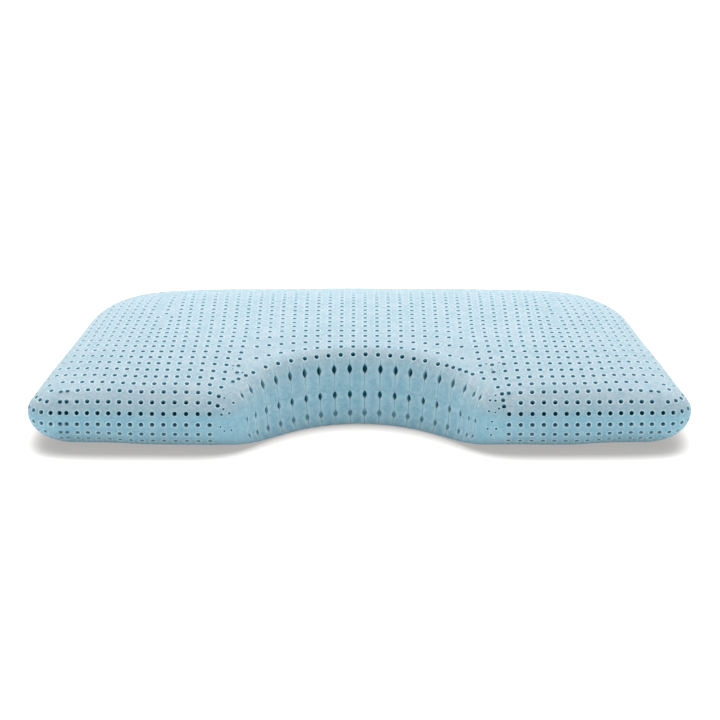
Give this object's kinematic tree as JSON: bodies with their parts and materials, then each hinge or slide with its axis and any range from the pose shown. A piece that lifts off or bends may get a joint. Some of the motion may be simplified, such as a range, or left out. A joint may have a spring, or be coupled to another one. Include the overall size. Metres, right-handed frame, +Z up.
{
  "type": "memory foam pillow",
  "caption": "Perforated moulded foam pillow core with a softly crowned top, rounded edges and a crescent recess in one long side for the shoulder.",
  "frame": {"origin": "middle of the underside, on the surface that the pillow rests on", "axes": "+X along the pillow's width, -Y towards the side with the crescent recess, +Z up through its thickness"},
  "size_m": [0.6602, 0.3514, 0.083],
  "materials": {
    "foam": "matt pale aqua foam skin"
  },
  "bodies": {
    "root": {"foam_core": "foam"}
  },
  "joints": []
}
